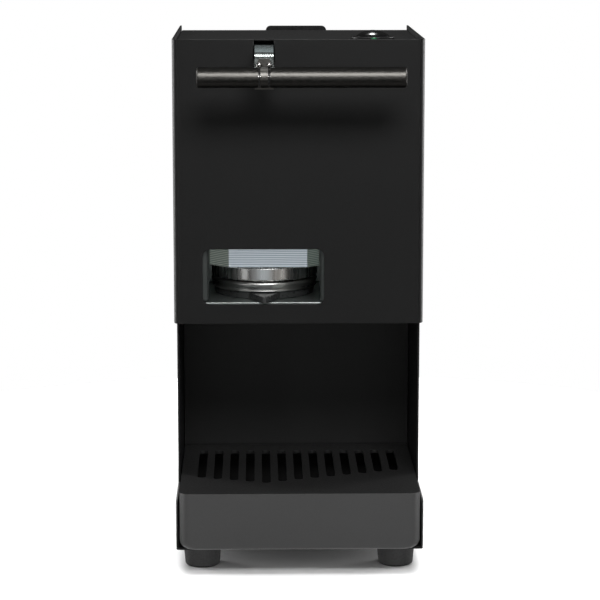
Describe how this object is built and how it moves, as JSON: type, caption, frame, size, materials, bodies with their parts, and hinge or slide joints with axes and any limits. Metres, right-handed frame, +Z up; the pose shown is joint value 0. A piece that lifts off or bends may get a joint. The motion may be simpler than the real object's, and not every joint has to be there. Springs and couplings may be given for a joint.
{
  "type": "pod coffee machine",
  "caption": "Compact sheet-steel espresso machine for paper pods: pull-up bar lever presses the brewing group, with slotted drip tray, rear water tank and top button.",
  "frame": {"origin": "on the table under the middle of the machine, at the bottom centre of its bounding box", "axes": "+Z up, the front with the bar handle and drip tray faces -Y, +X to the right seen from the front"},
  "size_m": [0.15, 0.278, 0.3175],
  "materials": {
    "powder_coat": "satin black fine-texture powder coat",
    "satin_metal": "satin bar stock, faint lengthwise grain",
    "zinc_plate": "bright zinc plate on rolled sheet",
    "bright_metal": "polished, turned",
    "machined_aluminium": "machined face, horizontal cutter lines",
    "black_plastic": "fine moulded texture",
    "black_rubber": "matt",
    "smoke_plastic": "translucent smoke grey",
    "brass": "cast and turned",
    "white_silicone": "translucent hose",
    "red_silicone": "matt",
    "circuit_board": "solder mask",
    "green_lens": "clear green lens"
  },
  "bodies": {
    "chassis": {"base_pan": "powder_coat", "side_frame_left": "powder_coat", "side_frame_right": "powder_coat", "recess_back_panel": "powder_coat", "rear_partition": "powder_coat", "rear_panel": "powder_coat", "tank_shelf": "powder_coat", "head_floor": "powder_coat", "front_casing": "powder_coat", "top_plate": "powder_coat", "group_frame_left": "zinc_plate", "group_frame_right": "zinc_plate", "group_floor": "zinc_plate", "group_back_plate": "zinc_plate", "lever_pivot_pin": "bright_metal", "pod_seat": "bright_metal", "lower_filter": "bright_metal", "spout_funnel": "black_plastic", "foot_front_left": "black_rubber", "foot_front_right": "black_rubber", "foot_rear_left": "black_rubber", "foot_rear_right": "black_rubber", "pump_body": "black_plastic", "pump_bracket": "zinc_plate", "control_board": "circuit_board", "power_inlet": "black_plastic", "rocker_frame": "black_plastic", "button_bezel": "black_plastic", "indicator_lamp": "green_lens", "tank_dock": "black_plastic", "suction_hose": "white_silicone"},
    "lever": {"lever_arm": "zinc_plate", "crank_pin": "bright_metal", "handle_bracket": "satin_metal", "handle_rod": "bright_metal", "handle_tube_left": "satin_metal", "handle_tube_right": "satin_metal", "handle_washer_left": "black_rubber", "handle_washer_right": "black_rubber", "handle_rivet_left": "bright_metal", "handle_rivet_right": "bright_metal"},
    "press": {"press_yoke": "zinc_plate", "boiler": "brass", "group_block": "machined_aluminium", "piston_head": "bright_metal", "piston_seal": "red_silicone", "shower_screen": "bright_metal", "thermostat": "bright_metal", "heater_terminal_front": "zinc_plate", "heater_terminal_rear": "zinc_plate", "inlet_fitting": "brass", "pressure_hose": "white_silicone"},
    "tray": {"drip_tray": "black_plastic"},
    "cover": {"drip_cover": "powder_coat"},
    "tank": {"water_tank": "smoke_plastic", "lid_hinge_pin": "bright_metal"},
    "valve": {"tank_valve": "white_silicone"},
    "lid": {"tank_lid": "black_plastic"},
    "button": {"brew_button": "black_plastic"},
    "rocker": {"power_rocker": "black_plastic"}
  },
  "joints": [
    {"name": "lever_swing", "type": "hinge", "parent": "chassis", "child": "lever", "pos_m": [-0.0205, -0.057, 0.292], "axis": [-1, 0, 0], "range_deg": [0, 70]},
    {"name": "press_lift", "type": "slide", "parent": "chassis", "child": "press", "axis": [0, 0, 1], "range_m": [0, 0.01147], "deforming": ["pressure_hose"]},
    {"name": "tray_slide", "type": "slide", "parent": "chassis", "child": "tray", "axis": [0, -1, 0], "range_m": [0, 0.12]},
    {"name": "cover_lift", "type": "slide", "parent": "tray", "child": "cover", "axis": [0, 0, 1], "range_m": [0, 0.04]},
    {"name": "tank_lift", "type": "slide", "parent": "chassis", "child": "tank", "axis": [0, 0, 1], "range_m": [0, 0.25]},
    {"name": "valve_lift", "type": "slide", "parent": "tank", "child": "valve", "axis": [0, 0, 1], "range_m": [0, 0.003], "stiffness_N_per_m": 40, "springref_m": -0.001},
    {"name": "lid_hinge", "type": "hinge", "parent": "tank", "child": "lid", "pos_m": [0, 0.1325, 0.3045], "axis": [-1, 0, 0], "range_deg": [0, 95]},
    {"name": "button_press", "type": "slide", "parent": "chassis", "child": "button", "axis": [0, 0, -1], "range_m": [0, 0.0015], "stiffness_N_per_m": 400, "springref_m": -0.0008},
    {"name": "rocker_tilt", "type": "hinge", "parent": "chassis", "child": "rocker", "pos_m": [0.04, 0.134, 0.036], "axis": [1, 0, 0], "range_deg": [-10, 10]}
  ],
  "couplings": [
    {"joint": "press_lift", "follows": "lever_swing", "m_per_rad": 0.009388}
  ]
}
